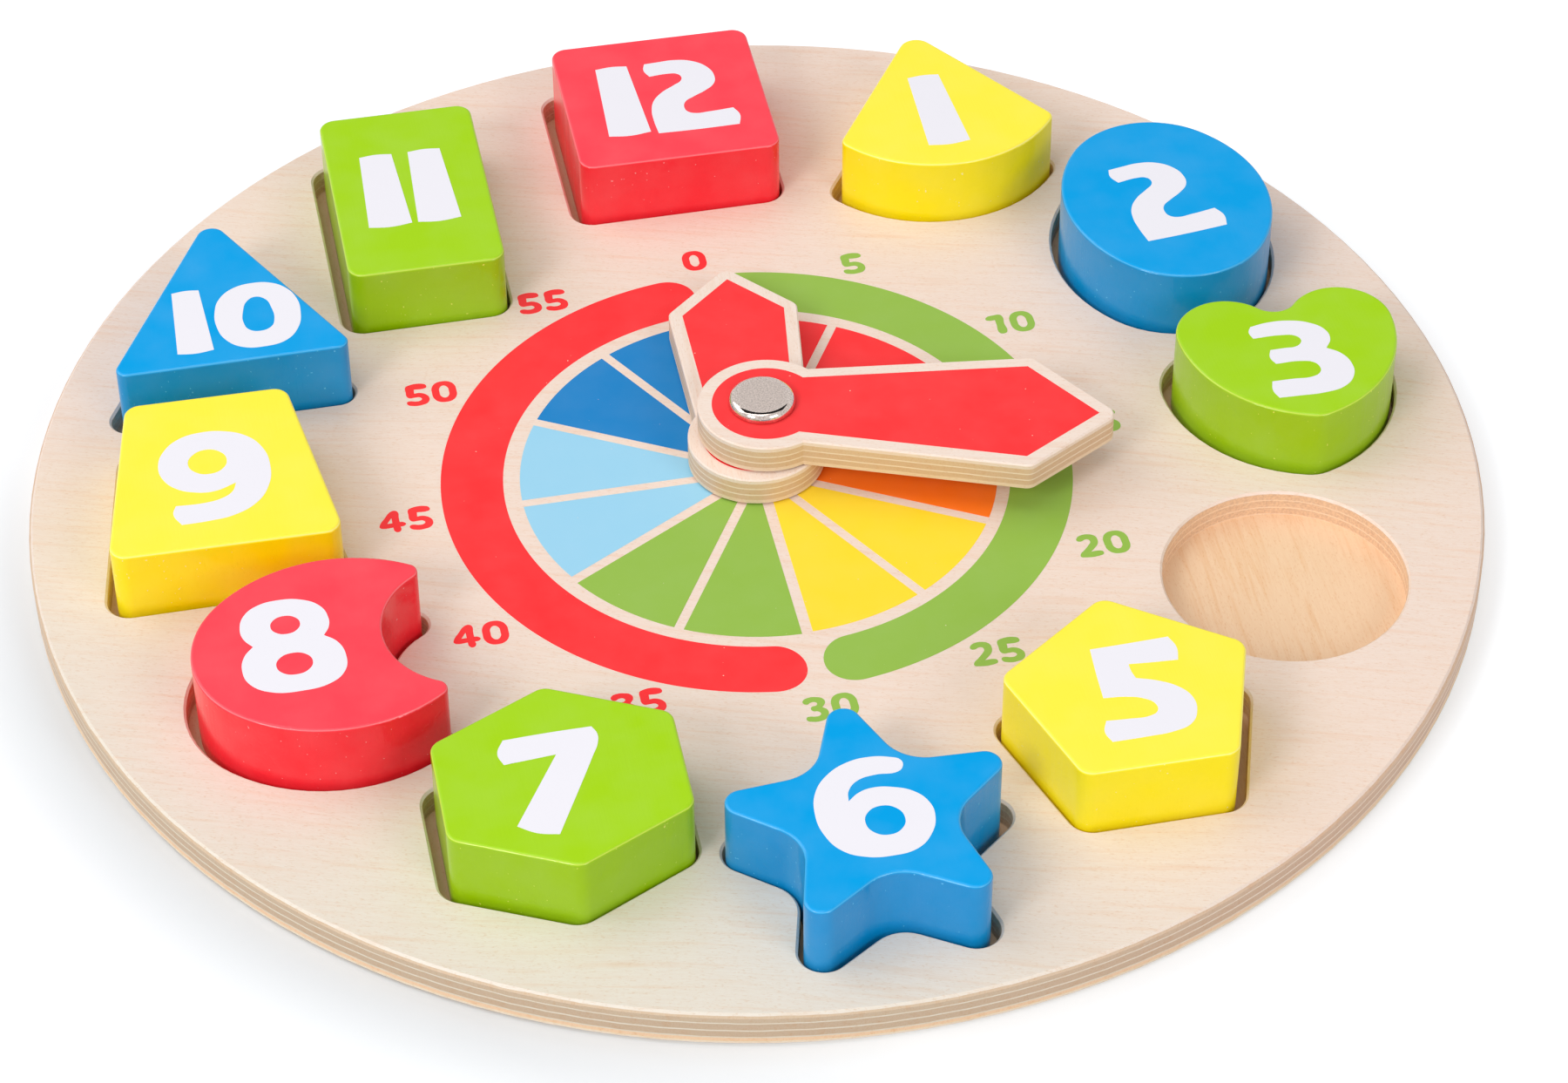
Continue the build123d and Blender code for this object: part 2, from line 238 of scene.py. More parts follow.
face_plies = [
    (0.35, "#EBD4C0", 0), (1.8, "#D2AF94", 1), (2.15, "#ECD8C6", 0), (3.75, "#D2AF94", 1),
    (4.05, "#ECD8C6", 0), (5.55, "#D6B59A", 1), (6.0, "#EDD9CC", 0),
]
back_plies = [(1.3, "#EEDCC6", 1), (1.5, "#F0D0A6", 0), (2.2, "#EECBA8", 0)]
hand_plies = [
    (1.15, "#E8D0B6", 0), (2.3, "#D8B898", 1), (2.6, "#EEDCC8", 0), (3.9, "#D8B898", 1),
    (4.2, "#EEDCC8", 0), (5.4, "#DCBF9F", 1), (6.5, "#EFDDD0", 0),
]
BACKING = back_plies[-1][0]  # the height that the face board lies at
face_wood = plywood(
    "basswood plywood, sanded and sealed",
    BACKING, face_plies, FACE_TURN, "#FCEDE0", 0.5, "#FFDDB8",
)
back_wood = plywood("beech-faced backing plywood", 0.0, back_plies, BACK_TURN, "#F6E4CE", 0.55)
hour_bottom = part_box("hour_hand")[0].z / MM
minute_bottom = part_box("minute_hand")[0].z / MM
hour_wood = plywood(
    "basswood plywood, hour hand", hour_bottom, hand_plies, HOUR_TURN, "#FAF0E8", 0.5
)
minute_wood = plywood(
    "basswood plywood, minute hand", minute_bottom, hand_plies, MINUTE_TURN, "#FAF0E8", 0.5
)
print("hands lie", round(hour_bottom, 2), "and", round(minute_bottom, 2), "mm above the floor")

# %% [markdown]
# ## Lacquered blocks
# Each block is sawn from solid wood, milled round its outline and sprayed with lacquer. The top is
# sanded flat and looks satin, and its paler hue is partly the lacquer's own and partly a painted
# sheen. The sides keep faint upright marks of the cutter and small pits where lacquer sinks into
# end grain, and a glossy coat there mirrors the surround. On the rounded arris a lighter line is
# painted in as a highlight. The object's own normal tells the three apart.

# %% Lacquer over milled wood
CUTTER_MARK, SWELL = (0.55, 0.55, 16), (5, 5, 14)  # x, y and z of one mark or wave, in mm
PIT_DEPTH, SWELL_HEIGHT = -0.8, 8.0  # against 1 for a cutter mark
SANDING = (12, 0.7)  # length and width of a scratch in mm, across the top from front to back
CHIP, PIT = 0.8, 0.9  # mm. Real ones are half as big, and are drawn this coarse so that they show
CLOUD = 11  # mm from a thicker to a thinner place of the coat


def lacquer(name, top_hue_and_sheen, side_hue, chip_and_highlight):
    """Chip_and_highlight is a paler colour: chipped lacquer in specks on the sides, and a painted
    highlight on the arris.
    """
    material, tree, where, normal = start(name)

    # the normal's Z is 1 on the top and nought on a side, and on the arris it lies between them
    up = put(tree, "SeparateXYZ", [normal]).node.outputs["Z"]
    level = put(tree, "Math", [up], operation="ABSOLUTE")
    side = put(tree, "MapRange", [level, 0.2, 0.8, 1.0, 0.0])
    gloss = put(tree, "MapRange", [level, 0.9, 0.99, 0.5, 0.0])

    # relief: upright cutter marks, pits and a broad swell on the sides, faint sanding on the top
    waves = []
    for sizes, detail in ((CUTTER_MARK, 2.0), (SWELL, 1.0)):
        cell = {"Vector": where, "Scale": tuple(size * MM for size in sizes)}
        drawn_out = put(tree, "Mapping", cell, vector_type="TEXTURE")
        noise = {"Vector": drawn_out, "Scale": 1.0, "Detail": detail}
        waves.append(put(tree, "TexNoise", noise))
    cutter, swell = waves
    pits = put(tree, "TexNoise", {"Vector": where, "Scale": 1 / (PIT * MM), "Detail": 2.0})
    pits = put(tree, "MapRange", [pits, 0.56, 0.7])
    relief = put(tree, "Math", [pits, PIT_DEPTH, cutter], operation="MULTIPLY_ADD")
    relief = put(tree, "Math", [swell, SWELL_HEIGHT, relief], operation="MULTIPLY_ADD")
    sanding = streaks(tree, where, 90, SANDING)
    relief = put(tree, "Mix", {"Factor": side, "A": sanding, "B": relief})
    bump = put(tree, "Bump", {"Height": relief, "Strength": 0.35, "Distance": 0.07 * MM})

    # colour: a little unevenness, a painted highlight along the arris, and a chip at each peak of a
    # noise
    cloud = put(tree, "TexNoise", {"Vector": where, "Scale": 1 / (CLOUD * MM), "Detail": 3.0})
    cloud = put(tree, "MapRange", [cloud, 0.35, 0.75, 0.0, 0.03])
    # the top takes a paler hue than the sides: partly the lacquer's own, partly a painted sheen of
    # the lamps
    shade = put(tree, "Mix", [side, colour(top_hue_and_sheen), colour(side_hue)], **LAY_OVER)
    shade = put(tree, "Mix", [cloud, shade, colour("#F4F4F4")], **LAY_OVER)
    # painted highlight: a lighter line laid along the arris, where the normal's Z is about 0.6
    painted_highlight = put(tree, "ValToRGB", [level], [(0.4, BLACK), (0.6, WHITE), (0.8, BLACK)])
    painted_highlight = put(tree, "Math", [painted_highlight, 0.7], operation="MULTIPLY")
    shade = put(tree, "Mix", [painted_highlight, shade, colour(chip_and_highlight)], **LAY_OVER)
    speck = put(tree, "TexNoise", {"Vector": where, "Scale": 1 / (CHIP * MM), "Detail": 1.0})
    speck = put(tree, "MapRange", [speck, 0.755, 0.78])
    speck = put(tree, "Math", [speck, side], operation="MULTIPLY")
    shade = put(tree, "Mix", [speck, shade, colour(chip_and_highlight)], **LAY_OVER)

    # the low IOR keeps the colour deep, and a clear glossy coat lies on all but the level top
    rough = put(tree, "MapRange", [cutter, 0.3, 0.7, 0.28, 0.38])
    paint = {
        "Base Color": shade, "Roughness": rough, "IOR": 1.15, "Normal": bump,
        "Coat Weight": gloss, "Coat IOR": 1.5, "Coat Roughness": 0.09, "Coat Normal": bump,
    }
    put(tree, "OutputMaterial", {"Surface": put(tree, "BsdfPrincipled", paint)})
    return material


lacquers = {
    "red_paint": lacquer("red lacquer on milled wood", "#FC4654", "#FA2634", "#FA8E92"),
    "yellow_paint": lacquer("yellow lacquer on milled wood", "#FDEC46", "#FDE804", "#FFF3A0"),
    "blue_paint": lacquer("blue lacquer on milled wood", "#009EE2", "#0090D2", "#5ABCE8"),
    "green_paint": lacquer("green lacquer on milled wood", "#A2D21A", "#9CC600", "#DDE460"),
}
print("mixed", len(lacquers), "lacquers")

# %% [markdown]
# ## Steel
# The rivet is nickel-plated. Its head is pressed flat with a fine matt texture, and its rolled rim
# is polished by the die, so the distance from the rivet's own axis sets the roughness. The washer
# and the rolled tail under the board are zinc-plated, duller and a little blue.

# %% Two platings
GRIT = 0.35  # mm, coarser than the real grit so that it shows


def plated_steel(name, hue, middle, rim, rough_flat, rough_rim):
    """Grit dulls the flat. From a radius of rim mm the steel is smooth, with its own roughness."""
    material, tree, where, _ = start(name)
    centred = put(tree, "VectorMath", [where, middle], operation="SUBTRACT")
    flat = put(tree, "VectorMath", [centred, (1, 1, 0)], operation="MULTIPLY")
    radius = put(tree, "VectorMath", [flat], operation="LENGTH").node.outputs["Value"]
    edge = put(tree, "MapRange", [radius, (rim - 0.5) * MM, (rim + 0.1) * MM])
    grit = put(tree, "TexNoise", {"Vector": where, "Scale": 1 / (GRIT * MM), "Detail": 3.0})
    rough = put(tree, "Mix", {"Factor": edge, "A": rough_flat, "B": rough_rim})
    rough = put(tree, "Math", [grit, 0.08, rough], operation="MULTIPLY_ADD")
    inner = put(tree, "MapRange", [edge, 0, 1, 1, 0])
    depth = put(tree, "Math", [grit, inner], operation="MULTIPLY")
    bump = put(tree, "Bump", {"Height": depth, "Strength": 0.2, "Distance": 0.03 * MM})
    tone = put(tree, "MapRange", [grit, 0.35, 0.75])
    shade = put(tree, "Mix", [tone, colour(hue), colour("#C0B2AA")], **LAY_OVER)
    steel = {"Base Color": shade, "Metallic": 1.0, "Roughness": rough, "Normal": bump}
    put(tree, "OutputMaterial", {"Surface": put(tree, "BsdfPrincipled", steel)})
    return material


low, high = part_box("hand_rivet")
rivet_middle = ((low.x + high.x) / 2, (low.y + high.y) / 2, 0.0)
nickel = plated_steel(
    "nickel-plated steel, pressed and polished", "#F0E2DA", rivet_middle, 5.1, 0.42, 0.06
)
zinc = plated_steel("zinc-plated steel", "#C4C8CC", rivet_middle, 9.0, 0.38, 0.38)
print("the rivet stands at", [round(v / MM, 2) for v in rivet_middle])

# %% [markdown]
# ## Give every solid its finish
# The solids keep their meshes and only get a material. The record lists which slot each solid takes
# its finish from, so the blocks' colours are read from there and not written twice.

# %% Materials on the solids
finishes = {
    "face_plywood": face_wood,
    "back_plywood": back_wood,
    "polished_steel": nickel,
    "zinc_plated_steel": zinc,
    **lacquers,
}
slot_of = {row["node"]: row["material_slot"] for row in frame["record"]["subparts"]}
hand_woods = {"hour_hand": hour_wood, "minute_hand": minute_wood}
for name, solid in nodes.items():
    finish = hand_woods.get(name) or finishes[slot_of[name]]
    solid.data.materials.clear()
    solid.data.materials.append(finish)
    print(name, "-", finish.name)

# %% [markdown]
# ## Screen printing
# The dial, the hands' red fields and the numerals are screen-printed: ink is pushed through a mesh
# on to the flat wood and dries to a film a few hundredths of a millimetre thick. Painting the
# shapes into the wood's own material would need a mask for each. Here each print is its own thin
# solid: a flat grid or outline just above the wood, to which Solidify gives a wall that reaches
# down into it. The ink is opaque but thin, so the grain shows through as relief, and pores leave
# tiny bare specks.

# %% Ink
INK_CLOUD, INK_FIBRES = 9, (9, 0.4)  # mm from a thick to a thin place, and the size of a fibre
PINHOLE = 0.7  # mm, coarser than a real one so that it shows


def ink(name, hue, bare="#EBD9C4", sheen=0.42):
    """Bare is the colour that shows in the few pinholes of the film."""
    material, tree, where, _ = start(name)
    cloud = put(tree, "TexNoise", {"Vector": where, "Scale": 1 / (INK_CLOUD * MM), "Detail": 4.0})
    cloud = put(tree, "MapRange", [cloud, 0.3, 0.75, 0.0, 0.02])
    shade = put(tree, "Mix", [cloud, colour(hue), WHITE], **LAY_OVER)
    hole = put(tree, "TexNoise", {"Vector": where, "Scale": 1 / (PINHOLE * MM), "Detail": 1.0})
    hole = put(tree, "MapRange", [hole, 0.81, 0.84])
    shade = put(tree, "Mix", [hole, shade, colour(bare)], **LAY_OVER)
    fibre = streaks(tree, where, FACE_TURN, INK_FIBRES)
    bump = put(tree, "Bump", {"Height": fibre, "Strength": 0.08, "Distance": 0.04 * MM})
    rough = put(tree, "MapRange", [fibre, 0.3, 0.7, sheen - 0.04, sheen + 0.06])
    film = {"Base Color": shade, "Roughness": rough, "IOR": 1.25, "Normal": bump}
    put(tree, "OutputMaterial", {"Surface": put(tree, "BsdfPrincipled", film)})
    return material


dial_inks = {
    "red": ink("red screen ink", "#FC3236"),
    "orange": ink("orange screen ink", "#FF7814"),
    "yellow": ink("yellow screen ink", "#FDDA30"),
    "green": ink("green screen ink", "#92B94A"),
    "sky": ink("light blue screen ink", "#98CFEA"),
    "blue": ink("blue screen ink", "#1880C4"),
}
white_ink = ink("white screen ink", "#EAE8EF", "#E0E0E8", 0.35)
FILM = 0.04    # mm that a print stands above the wood
BURIED = 0.02  # mm that its wall reaches down into the wood
print("stirred", len(dial_inks) + 1, "inks")

# %% From a mesh to a finished print


def finish_print(name, mesh, body, material):
    """Makes a flat mesh a thin solid that rides on a body."""
    piece = bpy.data.objects.new(name, mesh)
    bpy.context.scene.collection.objects.link(piece)
    piece.data.materials.append(material)
    film = piece.modifiers.new("film", "SOLIDIFY")
    film.thickness = (FILM + BURIED) * MM
    film.offset = -1.0
    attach(piece, body)


def face_up(mesh):
    """Turns a flat mesh over if it faces down."""
    if mesh.polygons[0].normal.z < 0:
        mesh.flip_normals()
    return mesh


def flat_grid(name, x, y, top):
    """A mesh from two equal grids of x and y in millimetres, one quad between each four points."""
    rows, columns = x.shape
    points = np.stack([x, y, np.full_like(x, top + FILM)], axis=-1).reshape(-1, 3) * MM
    corner = np.arange(rows * columns).reshape(rows, columns)
    around = [corner[:-1, :-1], corner[1:, :-1], corner[1:, 1:], corner[:-1, 1:]]
    quads = np.stack(around, axis=-1)
    mesh = bpy.data.meshes.new(name)
    mesh.from_pydata(points.tolist(), [], quads.reshape(-1, 4).tolist())
    return face_up(mesh)


board_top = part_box("face_board")[1].z / MM
# x and y in mm. Every screen is laid by hand, so none of them sits quite at the board's middle
DIAL = np.array([-0.74, 0.15])
RING = DIAL + (0.65, -0.37)
SECTORS = np.array([0.3, -0.22])
SLIPS = {"green": np.array([-0.2, -0.3])}  # this ink's screen slipped against the other sectors
print("the dial is printed at a height of", round(board_top, 2), "mm")

# %% [markdown]
# ## The dial
# Two half rings mark the hour's first and second half, and inside them twelve sectors mark its
# five-minute steps. Both are simplest in polar coordinates, with one parameter round the dial and
# one across it. A half ring is a band carried along an arc, whose half width shrinks like a
# circle's chord at both ends, which rounds them. A sector's two sides keep a constant distance from
# the radial line between neighbours, so their angle from it grows towards the middle.

# %% Ring and sectors
TIP_POINTS, ARC_POINTS, BAND_POINTS = 16, 120, 7  # round a tip, between tips and across the band
BLUNT = 0.1  # radians of a tip's circle that are left out, so that it ends in an edge, not a point
OUTWARD_POINTS, ACROSS_POINTS = 10, 15  # of a sector


def half_ring(name, first, last, inner, outer):
    """A band along an arc: at a distance s from its tip its half width is sqrt(w^2 - (w - s)^2)."""
    width, middle = (outer - inner) / 2, (outer + inner) / 2
    length = radians(last - first) * middle
    cap = width * (1 - np.cos(np.linspace(BLUNT, pi / 2, TIP_POINTS)))
    between = np.linspace(width, length - width, ARC_POINTS)[1:-1]
    along = np.concatenate([cap, between, length - cap[::-1]])
    to_tip = np.minimum(np.minimum(along, length - along), width)
    half = np.sqrt(width**2 - (width - to_tip) ** 2)
    radius = middle + half[:, None] * np.linspace(-1, 1, BAND_POINTS)
    angle = (radians(first) + along / middle)[:, None]
    x, y = RING[0] + radius * np.sin(angle), RING[1] + radius * np.cos(angle)
    return flat_grid(name, x, y, board_top)


def sector(name, middle, first, last, inner, outer, gap):
    """Between two radial lines, each side half a gap from its own: angle = asin(gap / 2 r)."""
    radius = np.linspace(inner, outer, OUTWARD_POINTS)[:, None]
    inset = np.arcsin(gap / 2 / radius)
    across = np.linspace(0, 1, ACROSS_POINTS)
    angle = radians(first) + inset + (radians(last - first) - 2 * inset) * across
    x, y = middle[0] + radius * np.sin(angle), middle[1] + radius * np.cos(angle)
    return flat_grid(name, x, y, board_top)


RING_RADII = 52.6, 65.5
SECTOR_RADII, SECTOR_GAP = (4.0, 49.5), 2.05
half_rings = {"green": (1.7, 178.3), "red": (181.7, 358.3)}  # degrees clockwise from twelve
for hue, (first, last) in half_rings.items():
    mesh = half_ring(f"half_ring_{hue}", first, last, *RING_RADII)
    finish_print(f"half_ring_{hue}", mesh, "board", dial_inks[hue])
sector_hues = ["red", "orange", "yellow", "green", "sky", "blue"]
for step in range(12):
    hue, name = sector_hues[step // 2], f"sector_{5 * step:02d}"
    middle = SECTORS + SLIPS.get(hue, 0)
    mesh = sector(name, middle, 30 * step, 30 * step + 30, *SECTOR_RADII, SECTOR_GAP)
    finish_print(name, mesh, "board", dial_inks[hue])
print("printed", len(half_rings), "half rings and 12 sectors")

# %% [markdown]
# ## Numerals
# The clock's figures are heavy and soft, with flared ends, and no ready font has them. Each is
# drawn as one or more closed outlines through a few chosen points. On a Blender curve an automatic
# handle makes a point smooth, and a vector handle makes it a corner, here marked with a 1. A flat
# curve fills itself and leaves its inner loops open, and is then made a mesh.

# %% Outlines of the figures
# each point is x and y in mm from the figure's middle, and a 1 if it is a corner
block_glyphs = {
    "0": [
        [(0.0, 10.7), (3.8, 10.0), (6.8, 7.6), (8.6, 3.7), (8.9, -0.9), (7.8, -5.9), (4.8, -9.6),
         (0.2, -10.7), (-4.5, -9.9), (-7.6, -6.9), (-9.0, -2.4), (-8.9, 2.6), (-7.4, 6.9),
         (-4.2, 9.8)],
        [(0.0, 6.0), (2.0, 4.9), (3.0, 1.8), (3.2, -2.1), (2.3, -4.5), (0.0, -5.5), (-2.3, -4.7),
         (-3.3, -2.2), (-3.0, 1.7), (-1.8, 4.9)],
    ],
    "1": [
        [(-3.7, 12.6, 1), (-0.1, 13.0), (3.4, 12.6, 1), (4.7, -12.4, 1), (-0.1, -13.0),
         (-4.7, -12.4, 1)],
    ],
    "2": [
        [(-8.2, 12.9, 1), (-5.0, 13.1), (-1.5, 13.2), (2.5, 12.1), (5.5, 9.3), (6.6, 5.5),
         (5.9, 2.7), (3.6, 0.6), (0.7, -1.1), (-1.5, -2.7), (-2.1, -4.7), (-1.6, -6.4),
         (-0.1, -7.3), (3.0, -7.3), (8.6, -6.9, 1), (9.6, -9.7), (8.9, -13.1, 1), (-0.5, -13.2),
         (-9.3, -13.0, 1), (-9.6, -8.3), (-9.4, -4.3), (-8.4, -1.1), (-6.1, 1.7), (-2.9, 3.9),
         (-1.1, 5.3), (-0.8, 6.8), (-1.6, 8.0), (-3.5, 8.4), (-7.8, 8.1, 1), (-8.7, 10.6)],
    ],
    "3": [
        [(-8.4, 11.3, 1), (-4.7, 12.0), (0.1, 11.8), (4.1, 10.3), (6.7, 7.6), (7.0, 4.4),
         (5.4, 1.7, 1), (7.9, -0.5), (9.2, -4.2), (8.5, -8.0), (5.7, -10.9), (1.3, -12.0),
         (-4.1, -12.0), (-8.5, -11.9, 1), (-9.2, -9.5), (-8.6, -6.6, 1), (-4.1, -6.6),
         (-0.1, -6.7), (1.9, -5.7), (2.4, -4.0), (1.6, -2.3), (-0.7, -1.4), (-6.3, -1.3, 1),
         (-7.0, 0.9), (-6.3, 3.2, 1), (-3.1, 3.3), (-0.9, 3.3), (0.5, 4.2), (0.9, 5.5),
         (-0.1, 6.9), (-2.5, 7.5), (-8.8, 7.5, 1), (-9.2, 9.6)],
    ],
    "5": [
        [(-6.9, 12.4, 1), (0.7, 12.6), (8.8, 12.9, 1), (9.7, 9.8), (9.1, 6.3, 1), (3.9, 6.6),
         (-0.6, 7.0, 1), (-0.6, 5.1), (-0.2, 3.0, 1), (3.9, 1.4), (7.3, -1.0), (9.1, -4.0),
         (9.0, -7.9), (7.0, -11.1), (3.5, -12.4), (-2.3, -12.8), (-8.9, -12.9, 1), (-9.7, -10.1),
         (-8.7, -7.2, 1), (-4.3, -7.5), (-0.1, -7.5), (1.6, -6.5), (1.7, -4.5), (-0.1, -2.7),
         (-3.3, -1.6), (-7.7, -1.1, 1), (-7.4, 5.5)],
    ],
    "6": [
        [(6.8, 8.0), (8.0, 9.1), (8.0, 10.9), (6.0, 12.1), (2.4, 12.9), (-2.0, 12.4),
         (-6.5, 9.9), (-9.6, 5.9), (-10.9, 0.4), (-10.4, -5.0), (-8.1, -9.6), (-4.2, -12.1),
         (1.0, -12.9), (5.8, -12.1), (9.1, -9.1), (10.9, -4.7), (10.6, -0.8), (8.4, 2.4),
         (5.0, 4.2), (1.4, 4.9), (-1.6, 4.2), (-4.0, 2.4, 1), (-3.4, 5.0), (-1.2, 7.3),
         (2.4, 8.1)],
        [(1.6, 0.0), (4.2, -1.1), (5.3, -3.8), (4.2, -6.5), (1.6, -7.6), (-1.1, -6.5),
         (-2.2, -3.8), (-1.1, -1.1)],
    ],
    "7": [
        [(-8.2, 12.9, 1), (0.7, 13.3), (8.9, 13.4, 1), (9.7, 11.3), (9.4, 8.8), (8.0, 5.7),
         (-1.3, -13.4, 1), (-5.4, -12.3), (-8.8, -9.9, 1), (1.2, 7.3, 1), (-3.3, 6.9),
         (-8.9, 6.4, 1), (-9.7, 9.5)],
    ],
    "8": [
        [(-0.8, 13.1), (4.0, 12.2), (7.3, 9.6), (8.4, 6.0), (8.1, 3.4), (6.8, 1.2, 1),
         (9.0, -1.1), (10.1, -5.4), (9.2, -9.6), (6.2, -12.2), (0.2, -13.1), (-5.6, -12.1),
         (-9.1, -9.2), (-10.1, -5.2), (-9.1, -1.2), (-7.1, 1.1, 1), (-8.6, 3.6), (-8.9, 6.6),
         (-7.6, 10.2), (-4.8, 12.4)],
        [(-0.1, 8.4), (2.0, 7.6), (2.8, 5.8), (2.0, 4.0), (-0.1, 3.2), (-2.2, 4.0), (-3.0, 5.8),
         (-2.2, 7.6)],
        [(0.0, -2.3), (2.6, -3.2), (3.6, -5.3), (2.6, -7.5), (0.0, -8.4), (-2.5, -7.5),
         (-3.5, -5.3), (-2.5, -3.2)],
    ],
    "9": [
        [(-8.7, -7.9, 1), (-9.4, -10.3), (-8.0, -13.7, 1), (-2.5, -13.5), (2.5, -12.7),
         (7.3, -9.9), (10.2, -5.3), (11.2, 0.8), (10.1, 6.9), (7.1, 11.1), (2.9, 13.2),
         (-1.7, 13.7), (-6.3, 12.5), (-9.7, 9.2), (-11.2, 4.7), (-10.5, 0.5), (-8.2, -2.6),
         (-4.7, -4.4), (-0.7, -4.8), (3.9, -3.0, 1), (2.9, -5.6), (0.7, -7.2), (-3.0, -8.0)],
        [(-1.2, 8.2), (1.6, 7.0), (2.7, 4.4), (1.6, 1.7), (-1.2, 0.6), (-4.0, 1.7), (-5.2, 4.4),
         (-4.0, 7.0)],
    ],
}

dial_glyphs = {
    "0": [
        [(0.0, 3.4), (1.5, 3.0), (2.4, 1.8), (2.6, 0.0), (2.4, -1.8), (1.5, -3.0), (0.0, -3.4),
         (-1.5, -3.0), (-2.4, -1.8), (-2.6, 0.0), (-2.4, 1.8), (-1.5, 3.0)],
        [(0.0, 2.0), (0.8, 1.4), (1.0, 0.0), (0.8, -1.4), (0.0, -2.0), (-0.8, -1.4), (-1.0, 0.0),
         (-0.8, 1.4)],
    ],
    "1": [
        [(-1.6, 2.7), (0.3, 3.2), (1.3, 3.2), (1.8, 2.8), (1.8, 0.0), (1.8, -2.7), (1.3, -3.1),
         (0.5, -3.1), (0.1, -2.7), (0.1, 0.0), (0.1, 1.6, 1), (-1.1, 1.6), (-1.8, 2.0)],
    ],
    "2": [
        [(-2.1, 1.9), (-1.9, 2.8), (-0.9, 3.4), (0.6, 3.4), (1.8, 2.7), (2.1, 1.5), (1.8, 0.2),
         (0.9, -0.9), (-0.1, -1.8, 1), (1.7, -1.8), (2.3, -2.1), (2.3, -2.9), (1.7, -3.2),
         (-1.7, -3.2), (-2.4, -2.9), (-2.3, -2.1), (-1.3, -1.1), (-0.1, 0.2), (0.5, 1.2),
         (0.2, 1.9), (-0.4, 2.0), (-1.3, 1.6)],
    ],
    "3": [
        [(-2.2, 2.1), (-2.0, 2.9), (-0.9, 3.4), (0.6, 3.3), (1.8, 2.7), (2.1, 1.6),
         (1.3, 0.3, 1), (2.1, -0.5), (2.2, -1.6), (1.6, -2.8), (0.2, -3.4), (-1.3, -3.3),
         (-2.3, -2.8), (-2.3, -2.0), (-1.7, -1.8), (-0.6, -2.0), (0.3, -1.9), (0.7, -1.4),
         (0.3, -0.7), (-0.7, -0.4), (-1.0, 0.2), (-0.7, 0.8), (0.2, 1.0), (0.5, 1.5), (0.1, 2.0),
         (-0.7, 2.0), (-1.5, 1.6)],
    ],
    "4": [
        [(0.1, 3.2), (0.9, 3.3), (1.4, 2.8), (1.4, 1.0), (1.4, -0.3, 1), (2.2, -0.5),
         (2.6, -1.1), (2.2, -1.6), (1.4, -1.7, 1), (1.4, -2.8), (0.7, -3.3), (0.1, -2.9),
         (-0.1, -1.7, 1), (-2.2, -1.7), (-2.8, -1.3), (-2.7, -0.5), (-1.6, 1.2)],
        [(-0.1, 1.2, 1), (-0.1, -0.4, 1), (-1.2, -0.4, 1)],
    ],
    "5": [
        [(-2.2, 2.9), (-1.8, 3.3), (1.7, 3.4), (2.2, 2.9), (2.2, 2.2), (1.7, 1.9),
         (-0.5, 1.9, 1), (-0.6, 0.6, 1), (0.6, 0.6), (1.9, -0.2), (2.4, -1.4), (1.9, -2.8),
         (0.4, -3.4), (-1.4, -3.3), (-2.4, -2.7), (-2.4, -1.9), (-1.7, -1.7), (-0.6, -2.0),
         (0.4, -1.9), (0.8, -1.4), (0.4, -0.8), (-0.6, -0.7), (-1.7, -0.7), (-2.2, -0.2),
         (-2.3, 1.4)],
    ],
}
print("drew", len(block_glyphs), "block figures and", len(dial_glyphs), "dial figures")

# %% Figures as flat meshes
CURVE_STEPS = 8  # from one point of an outline to the next


def figure(name, loops_and_places):
    """Fills closed outlines. Each set has a place: x and y in mm, scale, turn in degrees."""
    drawing = bpy.data.curves.new(name, "CURVE")
    drawing.dimensions, drawing.fill_mode, drawing.resolution_u = "2D", "BOTH", CURVE_STEPS
    for loops, (x, y, scale, turn) in loops_and_places:
        turned = Matrix.Rotation(radians(turn), 2)
        for loop in loops:
            spline = drawing.splines.new("BEZIER")
            spline.bezier_points.add(len(loop) - 1)
            spline.use_cyclic_u = True
            for knot, point in zip(spline.bezier_points, loop):
                place = turned @ Vector(point[:2]) * scale + Vector((x, y))
                knot.co = (place.x * MM, place.y * MM, 0)
                handle = "VECTOR" if len(point) > 2 else "AUTO"
                knot.handle_left_type = knot.handle_right_type = handle
    holder = bpy.data.objects.new(name, drawing)
    bpy.context.scene.collection.objects.link(holder)
    bpy.context.view_layer.update()
    filled = holder.evaluated_get(bpy.context.evaluated_depsgraph_get())
    mesh = bpy.data.meshes.new_from_object(filled)
    bpy.data.objects.remove(holder)
    return face_up(mesh)


# block, figure, x and y in mm from the block's middle, scale and turn in degrees
block_figures = [
    ("block_12", "1", -9.8, 0.3, 1, -0.5),
    ("block_12", "2", 5.8, -0.2, 1, -0.5),
    ("block_11", "1", -5.9, 0.3, 1, -0.4),
    ("block_11", "1", 4.8, 0.2, 1, -0.4),
    ("block_10", "1", -7.4, -8.4, 0.81, 0.2),
    ("block_10", "0", 6.8, -8.8, 1, 0.2),
    ("block_9", "9", 0.0, -1.9, 1, -0.8),
    ("block_8", "8", -4.4, 0.9, 1, 1.8),
    ("block_7", "7", -1.4, -2.0, 1, -0.6),
    ("block_6", "6", 0.1, -1.5, 1, 0.8),
    ("block_5", "5", 1.1, -2.7, 1, -0.3),
    ("block_3", "3", 1.0, -1.4, 1, -0.8),
    ("block_2", "2", -0.3, -0.2, 1, 7),
    ("block_1", "1", -0.9, -3.5, 1, 0.3),
]
for block in dict.fromkeys(row[0] for row in block_figures):
    low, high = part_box(block)
    middle = (low + high) / 2 / MM
    drawn = [
        (block_glyphs[glyph], (middle.x + x, middle.y + y, scale, turn))
        for owner, glyph, x, y, scale, turn in block_figures
        if owner == block
    ]
    mesh = figure(f"number_on_{block}", drawn)
    mesh.transform(Matrix.Translation((0, 0, high.z + FILM * MM)))
    finish_print(f"number_on_{block}", mesh, block, white_ink)
    print(block, "carries", len(drawn), "figures of", len(mesh.vertices), "points")

